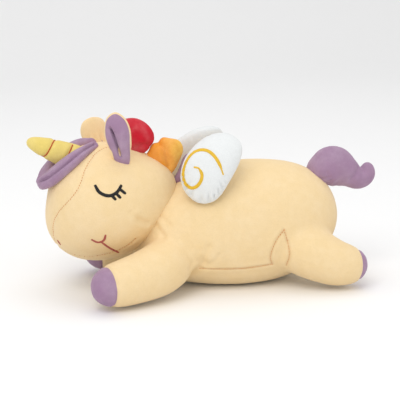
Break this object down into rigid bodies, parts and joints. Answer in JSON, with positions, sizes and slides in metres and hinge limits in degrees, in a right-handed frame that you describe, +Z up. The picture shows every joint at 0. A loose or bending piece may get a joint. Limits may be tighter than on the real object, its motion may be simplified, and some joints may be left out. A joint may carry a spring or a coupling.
{
  "type": "stuffed toy unicorn",
  "caption": "Soft stuffed unicorn toy lying on its belly, with a padded horn, lined ears, mane tufts, two padded wings and a curled tail that all flex.",
  "frame": {"origin": "bottom centre of the bounding box, on the surface the toy lies on", "axes": "+Z up, head towards -X, tail towards +X, the animal's left side towards -Y"},
  "size_m": [0.413, 0.195, 0.2154],
  "materials": {
    "cream_plush": "short-pile knitted plush, soft sheen",
    "lilac_plush": "short-pile knitted plush, soft sheen",
    "yellow_plush": "short-pile knitted plush",
    "red_plush": "short-pile knitted plush, soft sheen",
    "orange_plush": "short-pile knitted plush",
    "white_plush": "short-pile knitted plush",
    "gold_thread": "satin stitch",
    "black_thread": "satin stitch",
    "rose_thread": "satin stitch",
    "rust_thread": "twisted sewing cord",
    "polyester_fibre": "loose fibre filling"
  },
  "bodies": {
    "torso": {"body_side_left": "cream_plush", "body_side_right": "cream_plush", "belly_panel": "cream_plush", "body_filling": "polyester_fibre"},
    "head": {"head_side_left": "cream_plush", "head_side_right": "cream_plush", "face_panel": "cream_plush", "chin_panel": "cream_plush", "head_filling": "polyester_fibre", "eye_left": "black_thread", "mouth_left": "rose_thread", "nostril_left": "rose_thread", "eye_right": "black_thread", "mouth_right": "rose_thread", "nostril_right": "rose_thread", "forelock_cover": "lilac_plush", "forelock_filling": "polyester_fibre"},
    "front_leg_left": {"front_leg_left_sleeve": "cream_plush", "front_hoof_left": "lilac_plush", "front_leg_left_filling": "polyester_fibre"},
    "front_leg_right": {"front_leg_right_sleeve": "cream_plush", "front_hoof_right": "lilac_plush", "front_leg_right_filling": "polyester_fibre"},
    "hind_leg_left": {"hind_leg_left_sleeve": "cream_plush", "hind_hoof_left": "lilac_plush", "hind_leg_left_filling": "polyester_fibre"},
    "hind_leg_right": {"hind_leg_right_sleeve": "cream_plush", "hind_hoof_right": "lilac_plush", "hind_leg_right_filling": "polyester_fibre"},
    "horn": {"horn_cover": "yellow_plush", "horn_filling": "polyester_fibre", "horn_cord": "rust_thread", "horn_cord_start": "rust_thread"},
    "ear_left": {"ear_left_back": "cream_plush", "ear_left_lining": "lilac_plush"},
    "ear_right": {"ear_right_back": "cream_plush", "ear_right_lining": "lilac_plush"},
    "mane_red": {"mane_red_cover": "red_plush", "mane_red_filling": "polyester_fibre"},
    "mane_orange": {"mane_orange_cover": "orange_plush", "mane_orange_filling": "polyester_fibre"},
    "mane_purple": {"mane_purple_cover": "lilac_plush", "mane_purple_filling": "polyester_fibre"},
    "wing_left": {"wing_left_cover": "white_plush", "wing_left_filling": "polyester_fibre", "wing_left_swirl": "gold_thread"},
    "wing_right": {"wing_right_cover": "white_plush", "wing_right_filling": "polyester_fibre", "wing_right_swirl": "gold_thread"},
    "tail": {"tail_cover": "lilac_plush", "tail_filling": "polyester_fibre"}
  },
  "joints": [
    {"name": "head_nod", "type": "hinge", "parent": "torso", "child": "head", "pos_m": [-0.03711, 0.01328, 0.066], "axis": [0, 1, 0], "range_deg": [0, 8], "stiffness_Nm_per_rad": 8},
    {"name": "front_leg_left_swing", "type": "hinge", "parent": "torso", "child": "front_leg_left", "pos_m": [-0.04111, -0.01872, 0.046], "axis": [0, 0, 1], "range_deg": [0, 18], "stiffness_Nm_per_rad": 1.5},
    {"name": "front_leg_right_swing", "type": "hinge", "parent": "torso", "child": "front_leg_right", "pos_m": [-0.04111, 0.04528, 0.046], "axis": [0, 0, -1], "range_deg": [0, 18], "stiffness_Nm_per_rad": 1.5},
    {"name": "hind_leg_left_swing", "type": "hinge", "parent": "torso", "child": "hind_leg_left", "pos_m": [0.08489, -0.02072, 0.056], "axis": [0, 0, -1], "range_deg": [0, 18], "stiffness_Nm_per_rad": 1.5},
    {"name": "hind_leg_right_swing", "type": "hinge", "parent": "torso", "child": "hind_leg_right", "pos_m": [0.08489, 0.04728, 0.056], "axis": [0, 0, 1], "range_deg": [0, 18], "stiffness_Nm_per_rad": 1.5},
    {"name": "horn_lift", "type": "hinge", "parent": "head", "child": "horn", "pos_m": [-0.15311, 0.01328, 0.155], "axis": [0, 1, 0], "range_deg": [0, 12], "stiffness_Nm_per_rad": 0.6},
    {"name": "ear_left_fold", "type": "hinge", "parent": "head", "child": "ear_left", "pos_m": [-0.10511, -0.02472, 0.16], "axis": [1, 0, 0], "range_deg": [-6, 20], "stiffness_Nm_per_rad": 0.3},
    {"name": "ear_right_fold", "type": "hinge", "parent": "head", "child": "ear_right", "pos_m": [-0.11711, 0.05128, 0.157], "axis": [-1, 0, 0], "range_deg": [-6, 20], "stiffness_Nm_per_rad": 0.3},
    {"name": "mane_red_flop", "type": "hinge", "parent": "head", "child": "mane_red", "pos_m": [-0.0897, 0.01328, 0.1647], "axis": [0.9744, 0, -0.225], "range_deg": [-14, 14], "stiffness_Nm_per_rad": 0.4},
    {"name": "mane_orange_flop", "type": "hinge", "parent": "head", "child": "mane_orange", "pos_m": [-0.06329, 0.01328, 0.1405], "axis": [0.6947, 0, -0.7193], "range_deg": [-14, 14], "stiffness_Nm_per_rad": 0.4},
    {"name": "mane_purple_flop", "type": "hinge", "parent": "head", "child": "mane_purple", "pos_m": [-0.05377, 0.01328, 0.11432], "axis": [0.7193, 0, -0.6947], "range_deg": [-14, 14], "stiffness_Nm_per_rad": 0.4},
    {"name": "wing_left_flap", "type": "hinge", "parent": "torso", "child": "wing_left", "pos_m": [-0.00711, -0.02472, 0.142], "axis": [-1, 0, 0], "range_deg": [0, 24], "stiffness_Nm_per_rad": 1},
    {"name": "wing_right_flap", "type": "hinge", "parent": "torso", "child": "wing_right", "pos_m": [-0.00711, 0.05528, 0.14], "axis": [1, 0, 0], "range_deg": [0, 24], "stiffness_Nm_per_rad": 1},
    {"name": "tail_wag", "type": "hinge", "parent": "torso", "child": "tail", "pos_m": [0.13489, 0.01328, 0.114], "axis": [0, 0, 1], "range_deg": [-16, 16], "stiffness_Nm_per_rad": 0.8}
  ]
}
